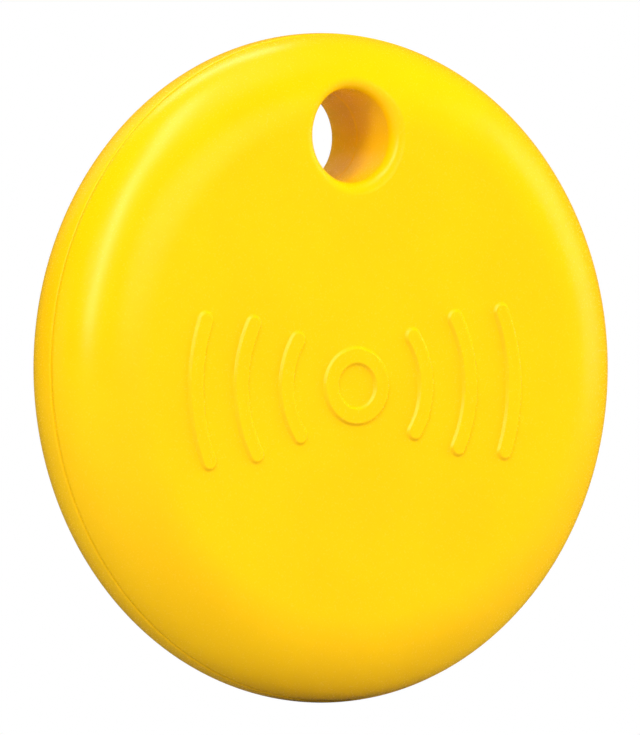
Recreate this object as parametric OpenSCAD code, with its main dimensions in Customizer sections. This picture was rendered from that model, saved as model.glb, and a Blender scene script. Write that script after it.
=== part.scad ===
// Round tracker tag with a key ring hole: a snap case around a coin cell, a circuit board and a buzzer.
// The origin is on the key ring hole's axis, halfway through the case. The front face looks along -Y,
// and +Z runs from the middle of the case up through the hole.
// Each module is drawn lying flat about the middle of the disc, front face up, then stood up by placed().

/* [Case] */
// Diameter of the case
case_d = 38.8; // [38.6:0.1:39.4]
// Thickness between the two flat faces
case_t = 7.4; // [7.4:0.05:7.6]
// Thickness of the front wall
front_wall = 1; // [0.9:0.05:1.05]
// Thickness of the rear wall
rear_wall = 0.9; // [0.85:0.05:0.95]
// How far in the rounded front edge reaches
front_round_w = 5; // [4.8:0.1:5.2]
// How far down the rounded front edge reaches
front_round_h = 3.8; // [3.7:0.05:3.85]
// How far in the rounded rear edge reaches
rear_round_w = 4; // [3.8:0.1:4.2]
// Height of the parting line above the middle of the thickness
seam_z = 0.6; // [0.5:0.05:0.7]
// Depth of the fine groove along the parting line
seam_groove = 0.08; // [0.04:0.01:0.12]
// Sliding gap between the two shells
shell_gap = 0.05; // [0.04:0.01:0.06]

/* [Key ring hole] */
// Diameter of the hole
hole_d = 5.4; // [5.2:0.1:5.6]
// Distance from the middle of the case to the hole
hole_y = 13.4; // [13.3:0.05:13.5]
// Radius of the hole's front mouth
hole_front_round = 0.8; // [0.6:0.05:0.9]
// Radius of the hole's rear mouth
hole_rear_round = 1.2; // [1:0.05:1.25]
// Outer radius of the tube around the hole
tube_r = 4; // [3.95:0.05:4.05]
// Height of the parting line inside the hole
hole_seam_z = -0.2; // [-0.3:0.05:-0.1]

/* [Raised mark] */
// Height of the raised mark
mark_h = 0.15; // [0.1:0.01:0.3]
// Stroke width of the raised mark
mark_stroke = 0.95; // [0.7:0.05:1.1]
// Radius of the mark's middle ring
mark_ring_r = 1.75; // [1.6:0.05:1.9]
// Step from each arc of the mark to the next
mark_step = 3.1; // [2.9:0.1:3.2]
// Sideways place of the mark
mark_x = -0.4; // [-1:0.1:1]
// Up and down place of the mark
mark_y = -1.05; // [-1.5:0.05:0]

/* [Press switch] */
// Radius of the thinned part of the front wall
press_r = 8; // [7:0.5:8.5]
// Depth of the thinning
press_thin = 0.3; // [0.2:0.05:0.35]
// Place of the switch below the middle of the case
press_y = -1; // [-1.5:0.1:-0.5]

/* [Circuit board] */
// Radius of the board
board_r = 16.4; // [16:0.1:16.5]
// Thickness of the board
board_t = 0.6; // [0.5:0.05:0.6]

/* [Coin cell] */
// Diameter of the coin cell
cell_d = 20; // [19.8:0.1:20]
// Thickness of the coin cell
cell_t = 3.2; // [3:0.1:3.2]
// Place of the cell below the middle of the case
cell_y = -1.4; // [-1.5:0.05:-1.35]

/* [Buzzer] */
// Radius of the buzzer's brass plate
buzzer_r = 12.1; // [12:0.05:12.1]
// Place of the buzzer below the middle of the case
buzzer_y = -3.1; // [-3.15:0.05:-3]

/* [Hidden] */
$fn = 96;
e = 0.01; // overlap that keeps neighbouring cuts from sharing a face
arc_steps = 10; // straight steps in each rounded edge

// Case
case_r = case_d / 2;
front_z = case_t / 2;
rear_z = -case_t / 2;
front_flat_r = case_r - front_round_w;
rear_flat_r = case_r - rear_round_w;
widest_z = front_z - front_round_h;
rear_round_h = widest_z - rear_z;
rebate_r = case_r - 1.05;
rebate_top = seam_z + 0.9;
seal_t = 0.4;
tongue_r = rebate_r - shell_gap;
tongue_w = 0.7;
tongue_top = rebate_top - seal_t;
cavity_r = tongue_r - tongue_w;
cavity_round_w = 3.6; // front cavity's rounded corner, inwards

// Hole
hole_r = hole_d / 2;
spigot_r = hole_r + 0.6;
spigot_top = 0.9;
collar_gap_r = spigot_r + shell_gap;

// Stack from the front wall to the cell, front to rear
press_top = front_z - front_wall + press_thin;
board_front = 2;
board_rear = board_front - board_t;
pad_r = 3;
pad_flange_t = 0.15;
pad_nub_r = 0.6;
stem_top = board_front + 0.65;
stem_r = 0.7;
switch_w = 4.4;
switch_base_h = 0.45;
switch_well_r = 1.75;
switch_floor = 0.2;
dome_r = 1.7;
dome_h = 0.22;
dome_t = 0.06;
switch_cover_t = 0.08;
cell_front = board_rear - 0.25;
cell_rear = cell_front - cell_t;

// Posts that hold the board
post_places = [[14.2, 2], [-14.2, 2], [8, -13], [-8, -13]];
post_r = 0.6;
post_shoulder_r = 1;
post_head_h = 0.3;

// Cell frame and contacts
frame_in_r = cell_d / 2 + 0.1;
frame_out_r = frame_in_r + 0.9;
frame_rear = -1.6;
frame_peg_r = 0.4;
frame_peg_angles = [20, 160, 262];
contact_angle = -38;
contact_w = 3;
contact_t = 0.15;

// Coin cell
can_r = cell_d / 2;
can_wall = 0.25;
can_edge_round = 0.4;
cap_r = 8.8;
cap_drop = 0.3; // the cap stands this far above the crimped edge
skirt_rear = cell_rear + 0.85;
cathode_top = cell_rear + 1.75;
separator_t = 0.1;
anode_r = 8.2;

// Buzzer on the rear wall
rear_inner = rear_z + rear_wall;
adhesive_t = 0.08;
plate_t = 0.15;
ceramic_t = 0.12;
electrode_t = 0.02;
ceramic_r = buzzer_r - 1.1;
electrode_r = ceramic_r - 0.3;
plate_front = rear_inner + adhesive_t + plate_t;
electrode_front = plate_front + ceramic_t + electrode_t;
wire_d = 0.18;
spring_turns = 6;
// Each contact spring: place, mean radius of the coil, height of its free end
springs = [[[-1.6, -12.85], 0.5, electrode_front], [[1.6, -14.5], 0.34, plate_front]];

// Small parts on the board's rear face: place and turn of each
small_caps = [
    [-12.5, -0.4, 90], [-13.7, -1.7, 90], [-12.7, -3.4, 75], [-13.9, -4.6, 70], [-12, -6.4, 60],
    [-12.8, -8, 55], [-5.6, -14.4, 15], [-4.2, -13.6, 15], [12.6, 0, 90], [12.3, 2.9, 90],
    [13.6, -2, 90], [10.9, 8.7, 0], [4.9, 11.2, 90], [4.6, -13.9, -15]
];
small_cap_size = [1, 0.5, 0.5];
bulk_caps = [[-10.4, -10.6, 45], [10.6, -10.7, -45]];
bulk_cap_size = [2, 1.25, 0.9];
small_resistors = [
    [-11.7, 4.6, 90], [-9.3, 11.6, 45], [-8, 13.2, 30], [-14.5, -2.9, 90], [12.6, -6.9, -60],
    [6, -14.2, -20], [13.9, 3.9, 90], [6.2, 13, 90]
];
resistor_size = [1, 0.5, 0.35];
end_w = 0.22; // metal end caps of the small parts

// Points along part of an ellipse, from angle a to angle b
function ellipse(cx, cy, rx, ry, a, b, n = arc_steps) =
    [for (i = [0 : n]) let (t = a + (b - a) * i / n) [cx + rx * cos(t), cy + ry * sin(t)]];

// Angle at which an ellipse of height ry about cy reaches height y
function at_height(y, cy, ry) = asin((y - cy) / ry);

// Stands the flat-drawn part up and moves the hole to the origin
module placed() {
    rotate([90, 0, 0]) translate([0, -hole_y, 0]) children();
}

// Cylinder from height a to height b
module rod(r, a, b) {
    translate([0, 0, min(a, b)]) cylinder(r = r, h = abs(b - a));
}

// Ring from height a to height b
module ring(outer, inner, a, b) {
    difference() {
        rod(outer, a, b);
        rod(inner, min(a, b) - e, max(a, b) + e);
    }
}

// The hole's bore with a rounded mouth at each face
module bore() {
    f = hole_front_round;
    r = hole_rear_round;
    translate([0, hole_y, 0]) rotate_extrude() polygon(concat(
        [[0, rear_z - 1], [hole_r + r, rear_z - 1]],
        ellipse(hole_r + r, rear_z + r, r, r, 270, 180, 6),
        ellipse(hole_r + f, front_z - f, f, f, 180, 90, 6),
        [[hole_r + f, front_z + 1], [0, front_z + 1]]
    ));
}

// One arc of the raised mark with round ends, from angle -a to a about +X
module mark_arc(r, a) {
    rotate([0, 0, -a]) rotate_extrude(angle = 2 * a)
        translate([r - mark_stroke / 2, front_z - 0.3]) square([mark_stroke, mark_h + 0.3]);
    for (s = [-a, a])
        rotate([0, 0, s]) translate([r, 0, 0]) rod(mark_stroke / 2, front_z - 0.3, front_z + mark_h);
}

// Ring with three signal arcs on each side
module raised_mark() {
    half = mark_stroke / 2;
    translate([mark_x, mark_y, 0]) {
        ring(mark_ring_r + half, mark_ring_r - half, front_z - 0.3, front_z + mark_h);
        for (side = [0, 180], n = [1 : 3])
            rotate([0, 0, side]) mark_arc(mark_ring_r + n * mark_step, 41 - 6.5 * n);
    }
}

// Front half of the case, as half of its cross-section
module front_profile() {
    groove_z = seam_z + seam_groove;
    a = at_height(groove_z, widest_z, front_round_h);
    cavity_h = front_z - front_wall - widest_z;
    b = at_height(rebate_top, widest_z, cavity_h);
    outer = ellipse(front_flat_r, widest_z, front_round_w, front_round_h, a, 90);
    polygon(concat(
        [[rebate_r, seam_z], [outer[0][0] - seam_groove, seam_z]],
        outer,
        [[0, front_z], [0, front_z - front_wall]],
        ellipse(front_flat_r, widest_z, cavity_round_w, cavity_h, 90, b),
        [[rebate_r, rebate_top]]
    ));
}

module front_shell() {
    color("gold") placed() difference() {
        union() {
            difference() {
                rotate_extrude() front_profile();
                translate([0, press_y, 0]) rod(press_r, front_z - front_wall - 1, press_top);
            }
            raised_mark();
            translate([0, hole_y, 0]) {
                rod(tube_r, spigot_top, front_z - front_wall + 0.3);
                rod(spigot_r, hole_seam_z, spigot_top + e);
            }
            for (p = post_places) translate(p) {
                rod(post_shoulder_r, board_front, front_z - front_wall + 0.3);
                rod(post_r, board_rear - e, board_front + e);
                rod(post_shoulder_r, board_rear - post_head_h, board_rear);
            }
        }
        bore();
    }
}

// Rear half of the case, as half of its cross-section
module rear_profile() {
    groove_z = seam_z - seam_groove;
    a = at_height(groove_z, widest_z, front_round_h);
    side = ellipse(front_flat_r, widest_z, front_round_w, front_round_h, 0, a, 2);
    cavity_h = widest_z - rear_inner;
    polygon(concat(
        [[0, rear_z]],
        ellipse(rear_flat_r, widest_z, rear_round_w, rear_round_h, -90, -90 / arc_steps, arc_steps - 1),
        side,
        [[side[2][0] - seam_groove, seam_z], [tongue_r, seam_z]],
        [[tongue_r, tongue_top], [cavity_r, tongue_top]],
        ellipse(rear_flat_r, widest_z, cavity_r - rear_flat_r, cavity_h, 0, -90),
        [[0, rear_inner]]
    ));
}

module rear_shell() {
    color("gold") placed() difference() {
        union() {
            rotate_extrude() rear_profile();
            translate([0, hole_y, 0]) {
                rod(tube_r, rear_inner - 0.3, hole_seam_z);
                ring(tube_r, collar_gap_r, hole_seam_z - e, spigot_top - seal_t);
            }
        }
        bore();
        // pry notch in the parting line at three o'clock
        translate([case_r + 0.3, 0, seam_z]) cube([1.6, 6, 0.7], center = true);
    }
}

module rim_seal() {
    color("dimgray") placed() ring(tongue_r - 0.02, cavity_r + 0.05, tongue_top, rebate_top);
}

module hole_seal() {
    color("dimgray") placed() translate([0, hole_y, 0])
        ring(tube_r - 0.05, collar_gap_r, spigot_top - seal_t, spigot_top);
}

module press_pad() {
    color("ivory") placed() translate([0, press_y, 0]) {
        rod(pad_r, press_top - pad_flange_t, press_top);
        rod(pad_nub_r, stem_top, press_top - pad_flange_t + e);
    }
}

module switch_base() {
    color("dimgray") placed() translate([0, press_y, board_front]) difference() {
        translate([0, 0, switch_base_h / 2]) cube([switch_w, switch_w, switch_base_h], center = true);
        rod(switch_well_r, switch_floor, switch_base_h + e);
    }
}

module switch_dome() {
    bulge = (dome_r * dome_r + dome_h * dome_h) / (2 * dome_h);
    half = asin(dome_r / bulge);
    inner = bulge - dome_t;
    inner_half = acos((bulge - dome_h) / inner);
    z0 = board_front + switch_floor + dome_h - bulge;
    color("silver") placed() translate([0, press_y, z0]) rotate_extrude() polygon(concat(
        ellipse(0, 0, bulge, bulge, 90 - half, 90, 6),
        ellipse(0, 0, inner, inner, 90, 90 - inner_half, 6)
    ));
}

module switch_stem() {
    color("ivory") placed() translate([0, press_y, 0]) {
        rod(stem_r, board_front + switch_base_h, stem_top);
        rod(stem_r + 0.3, board_front + switch_floor + dome_h, board_front + switch_base_h);
    }
}

module switch_cover() {
    top = board_front + switch_base_h;
    color("silver") placed() translate([0, press_y, 0]) difference() {
        union() {
            translate([0, 0, top + switch_cover_t / 2])
                cube([switch_w + 0.2, switch_w + 0.2, switch_cover_t], center = true);
            for (s = [-1, 1]) translate([s * (switch_w / 2 + 0.05), 0, (board_front + top) / 2])
                cube([0.1, 1.6, top - board_front], center = true);
        }
        rod(stem_r + 0.05, top - e, top + 1);
    }
}

module circuit_board() {
    color("seagreen") placed() difference() {
        rod(board_r, board_rear, board_front);
        translate([0, hole_y, 0]) rod(tube_r + 0.3, board_rear - e, board_front + e);
        for (p = post_places) translate(p) rod(post_r + 0.05, board_rear - e, board_front + e);
        for (a = frame_peg_angles) frame_peg_place(a)
            rod(frame_peg_r + 0.05, board_rear - e, board_front + e);
    }
}

// A block on the board's rear face
module chip(x, y, turn, size) {
    translate([x, y, board_rear - size[2] / 2]) rotate([0, 0, turn]) cube(size, center = true);
}

module radio_chip() {
    color("darkslategray") placed() chip(-10.4, 8.2, 0, [4, 4, 0.8]);
}

module buzzer_driver() {
    color("darkslategray") placed() chip(8.6, 9.4, 0, [3, 3, 0.75]);
}

module boost_inductor() {
    color("dimgray") placed() difference() {
        chip(12.2, 6.4, 0, [3, 3, 1.2]);
        translate([12.2, 6.4, 0]) rod(1.1, board_rear - 1.21, board_rear - 0.4);
    }
}

module inductor_core() {
    color("gray") placed() translate([12.2, 6.4, 0]) rod(1, board_rear - 1.15, board_rear - 0.4);
}

module main_crystal() {
    color("silver") placed() chip(-6.4, 11.2, 0, [2.5, 2, 0.5]);
}

module clock_crystal() {
    color("silver") placed() chip(-13.45, 5, 0, [1.5, 3.2, 0.75]);
}

// Strip along the board's edge on two feet
module antenna() {
    strip_z = board_rear - 0.8;
    color("gold") placed() {
        rotate([0, 0, 36]) rotate_extrude(angle = 32) translate([15.2, strip_z]) square([0.8, contact_t]);
        for (a = [36.8, 43]) rotate([0, 0, a]) rotate_extrude(angle = 2)
            translate([15.3, strip_z + contact_t / 2]) square([0.6, board_rear - strip_z - contact_t / 2]);
    }
}

// Bodies, without their end caps, of a group of small parts
module small_bodies(places, size) {
    for (p = places) chip(p[0], p[1], p[2], [size[0] - 2 * end_w, size[1], size[2]]);
}

// Both end caps of each small part in a group
module small_ends(places, size) {
    for (p = places, s = [-1, 1])
        translate([p[0], p[1], board_rear - size[2] / 2]) rotate([0, 0, p[2]])
            translate([s * (size[0] - end_w) / 2, 0, 0]) cube([end_w, size[1], size[2]], center = true);
}

module capacitors() {
    color("tan") placed() {
        small_bodies(small_caps, small_cap_size);
        small_bodies(bulk_caps, bulk_cap_size);
    }
}

module capacitor_ends() {
    color("silver") placed() {
        small_ends(small_caps, small_cap_size);
        small_ends(bulk_caps, bulk_cap_size);
    }
}

module resistors() {
    color("black") placed() small_bodies(small_resistors, resistor_size);
}

module resistor_ends() {
    color("silver") placed() small_ends(small_resistors, resistor_size);
}

// Puts a child in the middle of the cell frame's wall at an angle
module frame_peg_place(a) {
    wall_middle_r = (frame_in_r + frame_out_r) / 2;
    translate([0, cell_y, 0]) rotate([0, 0, a]) translate([wall_middle_r, 0, 0]) children();
}

module cell_frame() {
    color("whitesmoke") placed() {
        difference() {
            translate([0, cell_y, 0]) ring(frame_out_r, frame_in_r, frame_rear, board_rear);
            translate([0, hole_y, 0]) rod(tube_r + 0.2, frame_rear - e, board_rear + e);
            translate([0, cell_y, (frame_rear + board_rear) / 2]) rotate([0, 0, contact_angle])
                translate([frame_in_r, 0, 0])
                    cube([3, contact_w + 0.4, board_rear - frame_rear + 1], center = true);
        }
        for (a = frame_peg_angles) frame_peg_place(a) rod(frame_peg_r, board_rear - e, board_front);
    }
}

// Sprung tab against the side of the cell, on a foot on the board
module positive_contact() {
    leaf_x = can_r + 0.2;
    leaf_rear = frame_rear + 0.2;
    color("gold") placed() translate([0, cell_y, 0]) rotate([0, 0, contact_angle]) {
        translate([leaf_x, -contact_w / 2, leaf_rear]) cube([contact_t, contact_w, board_rear - leaf_rear]);
        translate([leaf_x, -contact_w / 2, board_rear - contact_t]) cube([2.2, contact_w, contact_t]);
        translate([can_r, -0.6, leaf_rear + 0.3]) cube([0.21, 1.2, 0.5]);
    }
}

// Plate on the board with three bumps against the cell's cap
module negative_contact() {
    color("gold") placed() translate([0, cell_y, 0]) {
        translate([0, 0, board_rear - 0.06]) cube([7, 3, 0.12], center = true);
        for (x = [-2.6, 0, 2.6]) translate([x, 0, 0]) rod(0.6, cell_front, board_rear - 0.1);
    }
}

module cell_can() {
    inner_r = can_r - can_wall;
    lip = cell_front - cap_drop;
    rear_r = can_r - can_edge_round;
    color("silver") placed() translate([0, cell_y, 0]) rotate_extrude() polygon(concat(
        [[0, cell_rear]],
        ellipse(rear_r, cell_rear + can_edge_round, can_edge_round, can_edge_round, -90, 0, 5),
        ellipse(can_r - can_wall, lip - can_wall, can_wall, can_wall, 0, 90, 3),
        [[cap_r + 0.15, lip], [cap_r + 0.15, lip - 0.2], [inner_r, lip - 0.2]],
        [[inner_r, cell_rear + can_wall], [0, cell_rear + can_wall]]
    ));
}

module cell_gasket() {
    inner_r = can_r - can_wall;
    lip = cell_front - cap_drop;
    color("black") placed() translate([0, cell_y, 0]) {
        ring(inner_r, cap_r, skirt_rear - 0.3, lip - 0.2);
        ring(cap_r + 0.15, cap_r, lip - 0.2 - e, lip);
        ring(cap_r + e, cap_r - 0.4, skirt_rear - 0.3, skirt_rear);
    }
}

module cell_cap() {
    color("silver") placed() translate([0, cell_y, 0]) {
        rod(cap_r, cell_front - can_wall, cell_front);
        ring(cap_r, cap_r - can_wall, skirt_rear, cell_front - can_wall + e);
    }
}

module cell_cathode() {
    color("dimgray") placed() translate([0, cell_y, 0]) rod(8.3, cell_rear + can_wall, cathode_top);
}

module cell_separator() {
    color("white") placed() translate([0, cell_y, 0]) rod(8.4, cathode_top, cathode_top + separator_t);
}

module cell_anode() {
    color("lightgray") placed() translate([0, cell_y, 0])
        rod(anode_r, cathode_top + separator_t, cell_front - can_wall);
}

module buzzer_adhesive() {
    color("white") placed() translate([0, buzzer_y, 0])
        ring(buzzer_r - 0.1, buzzer_r - 1.4, rear_inner, rear_inner + adhesive_t);
}

module buzzer_plate() {
    color("goldenrod") placed() translate([0, buzzer_y, 0])
        rod(buzzer_r, rear_inner + adhesive_t, plate_front);
}

module buzzer_ceramic() {
    color("whitesmoke") placed() translate([0, buzzer_y, 0])
        rod(ceramic_r, plate_front, plate_front + ceramic_t);
}

module buzzer_electrode() {
    color("silver") placed() translate([0, buzzer_y, 0])
        rod(electrode_r, plate_front + ceramic_t, electrode_front);
}

// A wound wire between heights a and b
module coil(mean_r, a, b) {
    sides = 8;
    per_turn = 16;
    steps = spring_turns * per_turn;
    low = a + wire_d / 2;
    rise = b - a - wire_d;
    points = [for (i = [0 : steps], j = [0 : sides - 1])
        let (t = 360 * i / per_turn, u = 360 * j / sides, r = mean_r + wire_d / 2 * cos(u))
        [r * cos(t), r * sin(t), low + rise * i / steps + wire_d / 2 * sin(u)]];
    walls = [for (i = [0 : steps - 1], j = [0 : sides - 1])
        let (k = (j + 1) % sides)
        [i * sides + j, i * sides + k, (i + 1) * sides + k, (i + 1) * sides + j]];
    first = [for (j = [0 : sides - 1]) sides - 1 - j];
    last = [for (j = [0 : sides - 1]) steps * sides + j];
    polyhedron(points, concat(walls, [first, last]));
}

module buzzer_springs() {
    color("gold") placed() for (s = springs) translate(s[0]) coil(s[1], s[2], board_rear);
}

front_shell();
rear_shell();
rim_seal();
hole_seal();
press_pad();
switch_base();
switch_dome();
switch_stem();
switch_cover();
circuit_board();
radio_chip();
buzzer_driver();
boost_inductor();
inductor_core();
main_crystal();
clock_crystal();
antenna();
capacitors();
capacitor_ends();
resistors();
resistor_ends();
cell_frame();
negative_contact();
positive_contact();
cell_can();
cell_gasket();
cell_cap();
cell_cathode();
cell_separator();
cell_anode();
buzzer_adhesive();
buzzer_plate();
buzzer_ceramic();
buzzer_electrode();
buzzer_springs();
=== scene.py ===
"""Round tracker tag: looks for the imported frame.

Shapes are worked out in the disc's own frame, in millimetres: the origin is the middle of the case,
x to the right, y up towards the ring hole and z out of the front face. stand() turns them into the
row frame in metres.
"""
import math
from functools import cache

import bpy
import numpy as np
from mathutils import Matrix, Vector
from mathutils.geometry import delaunay_2d_cdt

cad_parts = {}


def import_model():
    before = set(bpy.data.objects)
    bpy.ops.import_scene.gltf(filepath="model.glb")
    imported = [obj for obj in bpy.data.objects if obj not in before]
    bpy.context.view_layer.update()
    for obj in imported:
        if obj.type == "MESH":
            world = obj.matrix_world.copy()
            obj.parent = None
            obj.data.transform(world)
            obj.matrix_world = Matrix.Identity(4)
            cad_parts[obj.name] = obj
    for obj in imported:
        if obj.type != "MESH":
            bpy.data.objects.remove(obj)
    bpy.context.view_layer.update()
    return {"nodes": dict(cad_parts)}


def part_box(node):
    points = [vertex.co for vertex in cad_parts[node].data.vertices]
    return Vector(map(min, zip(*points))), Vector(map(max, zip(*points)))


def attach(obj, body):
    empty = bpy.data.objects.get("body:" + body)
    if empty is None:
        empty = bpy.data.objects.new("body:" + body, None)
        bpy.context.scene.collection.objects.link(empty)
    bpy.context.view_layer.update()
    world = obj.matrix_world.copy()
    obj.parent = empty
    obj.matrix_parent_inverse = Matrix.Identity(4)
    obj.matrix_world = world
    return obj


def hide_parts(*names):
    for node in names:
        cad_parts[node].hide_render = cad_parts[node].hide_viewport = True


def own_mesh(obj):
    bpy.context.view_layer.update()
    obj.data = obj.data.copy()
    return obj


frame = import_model()
nodes = frame["nodes"]
MM = 0.001

# ---------------------------------------------------------------- sizes from the frame, in mm
rear_low, rear_high = (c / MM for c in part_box("rear_shell"))
front_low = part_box("front_shell")[0] / MM
CASE_R = (rear_high.x - rear_low.x) / 2
HOLE_Y = -(rear_low.z + rear_high.z) / 2
REAR_Z = -rear_high.y
FRONT_Z = -REAR_Z
MARK_H = -front_low.y - FRONT_Z
BOARD_FRONT = -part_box("circuit_board")[0].y / MM
BOARD_REAR = -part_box("circuit_board")[1].y / MM
SEAL_TOP = -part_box("rim_seal")[0].y / MM
TONGUE_TOP = -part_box("rim_seal")[1].y / MM
HOLE_SEAL_TOP = -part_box("hole_seal")[0].y / MM
COLLAR_TOP = -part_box("hole_seal")[1].y / MM
CELL_REAR = -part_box("cell_can")[1].y / MM

# ---------------------------------------------------------------- sizes shared with the design, in mm
FRONT_ROUND = (5.0, 3.8)
REAR_ROUND = (4.0, 3.6)
WIDEST_Z = FRONT_Z - FRONT_ROUND[1]
FRONT_FLAT_R = CASE_R - FRONT_ROUND[0]
REAR_FLAT_R = CASE_R - REAR_ROUND[0]
SEAM_Z = 0.6
SEAM_GROOVE = 0.08
SEAM_SOFT = 0.2
REBATE_R = CASE_R - 1.05
TONGUE_R = REBATE_R - 0.05
CAVITY_R = TONGUE_R - 0.7
FRONT_INNER_Z = FRONT_Z - 1.0
FRONT_CAVITY_W = 3.6
REAR_INNER_Z = REAR_Z + 0.9
HOLE_R = 2.7
FRONT_MOUTH = 0.8
REAR_MOUTH = 1.2
FRONT_LIP = 0.04
REAR_LIP = 0.17
TUBE_R = 4.0
SPIGOT_R = 3.3
COLLAR_R = 3.35
HOLE_SEAM_Z = -0.2
PRESS_R = 8.0
PRESS_Z = 3.0
PRESS_Y = -1.0
POSTS = [(14.2, 2.0), (-14.2, 2.0), (8.0, -13.0), (-8.0, -13.0)]
MARK_STROKE = 0.95
MARK_RING_R = 1.75
MARK_STEP = 3.1
MARK_SPAN = 41
MARK_TAPER = 6.5
MARK_AT = (-0.4, -1.05)
MARK_SOFT = 0.22
NOTCH_W = 6.0
NOTCH_H = 0.35
NOTCH_DEPTH = 0.45

CELL_AT = np.array([0, -1.4])
BUS_R = 11.45
BUS_STEP = 0.34
BOARD_EDGE_R = 15.95
TRACK_RISE = 0.025

# Depth that solder and lines reach into the board, so that no gap shows under them
SUNK = 0.005

# Each contact spring: place, mean radius of the coil, height of its rear end
SPRINGS = [((-1.6, -12.85), 0.5, -2.43), ((1.6, -14.5), 0.34, -2.57)]
SPRING_WIRE = 0.18
SPRING_TURNS = 6
DOME_T = 0.06

RIM_COLUMNS = 512
HOLE_COLUMNS = 192
EDGE = 0.06


# ---------------------------------------------------------------- mesh helpers
def stand(points):
    """Points from the disc's frame in mm to the row frame in m."""
    p = np.asarray(points, float)
    return np.column_stack([p[:, 0], -p[:, 2], p[:, 1] - HOLE_Y]) * MM


def turn(directions):
    """The same change of frame for directions, made unit length."""
    d = np.asarray(directions, float)
    d = d / np.linalg.norm(d, axis=1)[:, None]
    return np.column_stack([d[:, 0], -d[:, 2], d[:, 1]])


class Skin:
    """Points, faces and point normals of one surface, joined from patches."""

    def __init__(self):
        self.points, self.normals, self.faces, self.count = [], [], [], 0

    def add(self, points, normals, faces):
        self.points.append(np.asarray(points, float))
        self.normals.append(np.asarray(normals, float))
        self.faces += [tuple(int(i) + self.count for i in f) for f in faces]
        self.count += len(points)

    def add_faced(self, points, normals, faces):
        """Adds quads, turned over where they look away from their points' normals."""
        points, normals = np.asarray(points, float), np.asarray(normals, float)
        turned = []
        for f in faces:
            across = np.cross(points[f[2]] - points[f[0]], points[f[3]] - points[f[1]])
            turned.append(f if across @ normals[list(f)].sum(axis=0) > 0 else f[::-1])
        self.add(points, normals, turned)

    def build(self, name, body, *stands_for):
        mesh = bpy.data.meshes.new(name)
        mesh.from_pydata(stand(np.concatenate(self.points)).tolist(), [], self.faces)
        mesh.validate()
        mesh.shade_smooth()
        mesh.normals_split_custom_set_from_vertices(turn(np.concatenate(self.normals)).tolist())
        piece = bpy.data.objects.new(name, mesh)
        bpy.context.scene.collection.objects.link(piece)
        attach(piece, body)
        if stands_for:
            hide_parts(*stands_for)
        return piece


def grid_faces(rows, columns, closed=True):
    """Quads between neighbouring rows, right-handed about column direction cross row direction."""
    faces = []
    for low in range(0, (rows - 1) * columns, columns):
        high = low + columns
        for j in range(columns if closed else columns - 1):
            k = (j + 1) % columns
            faces.append((low + j, low + k, high + k, high + j))
    return faces


def revolve(skin, section, columns, centre=(0, 0), push=None, keep=None):
    """Turns a section, a list of ((r, z), (normal r, normal z)), about the z axis through centre.
    The outside lies to the right of the section's direction. keep says which points' faces stay."""
    angle = np.arange(columns) * 2 * math.pi / columns
    c, s = np.cos(angle), np.sin(angle)
    points, normals = (
        np.concatenate([np.column_stack([out * c, out * s, np.full(columns, up)]) for out, up in part])
        for part in zip(*section)
    )
    if push:
        points, normals = push(points, normals, columns)
    points[:, 0] += centre[0]
    points[:, 1] += centre[1]
    faces = grid_faces(len(section), columns)
    if keep:
        stays = keep(points[:, :2])
        faces = [f for f in faces if stays[list(f)].any()]
    skin.add(points, normals, faces)


def oval(cx, cz, w, h, a, b, steps, outward=1):
    """Section along an ellipse from angle a to b, in degrees, with its own normals."""
    out = []
    for t in np.radians(np.linspace(a, b, steps + 1)):
        n = np.array([math.cos(t) / w, math.sin(t) / h]) * outward
        n /= np.linalg.norm(n)
        out.append(((cx + w * math.cos(t), cz + h * math.sin(t)), tuple(n)))
    return out


def rounded(corners, radius=EDGE, steps=4):
    """Section along straight lines with rounded corners. Its outside is to the right of its way."""
    p = [np.array(c, float) for c in corners]
    way = [(b - a) / np.linalg.norm(b - a) for a, b in zip(p, p[1:])]
    side = [(d[1], -d[0]) for d in way]
    out = [(tuple(p[0]), side[0])]
    for i in range(1, len(p) - 1):
        d0, d1 = way[i - 1], way[i]
        bend = math.atan2(d0[0] * d1[1] - d0[1] * d1[0], float(d0 @ d1))
        cut = radius * math.tan(abs(bend) / 2)
        start = p[i] - d0 * cut
        left = np.array([-d0[1], d0[0]]) * math.copysign(radius, bend)
        middle = start + left
        for k in range(steps + 1):
            t = bend * k / steps
            rot = np.array([[math.cos(t), -math.sin(t)], [math.sin(t), math.cos(t)]])
            out.append((tuple(middle - rot @ left), tuple(rot @ np.array(side[i - 1]))))
    out.append((tuple(p[-1]), side[-1]))
    return out


def circle(r, columns, centre=(0, 0)):
    angle = np.arange(columns) * 2 * math.pi / columns
    return np.column_stack([centre[0] + r * np.cos(angle), centre[1] + r * np.sin(angle)])


def triangles(loops, loose, keep):
    """Delaunay triangles over closed loops and loose points, where keep says yes to a centre."""
    points, edges = [], []
    for loop in loops:
        first = len(points)
        points += [Vector(p) for p in loop]
        edges += [(first + i, first + (i + 1) % len(loop)) for i in range(len(loop))]
    points += [Vector(p) for p in loose]
    flat, _, faces, *_ = delaunay_2d_cdt(points, edges, [], 0, 1e-6)
    flat = np.array([tuple(v) for v in flat])
    tri = np.array([f for f in faces if len(f) == 3])
    a, b, c = flat[tri[:, 0]], flat[tri[:, 1]], flat[tri[:, 2]]
    twice = (b[:, 0] - a[:, 0]) * (c[:, 1] - a[:, 1]) - (b[:, 1] - a[:, 1]) * (c[:, 0] - a[:, 0])
    tri[twice < 0] = tri[twice < 0][:, ::-1]
    good = keep((a + b + c) / 3) & (np.abs(twice) > 1e-9)
    return flat, tri[good]


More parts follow.
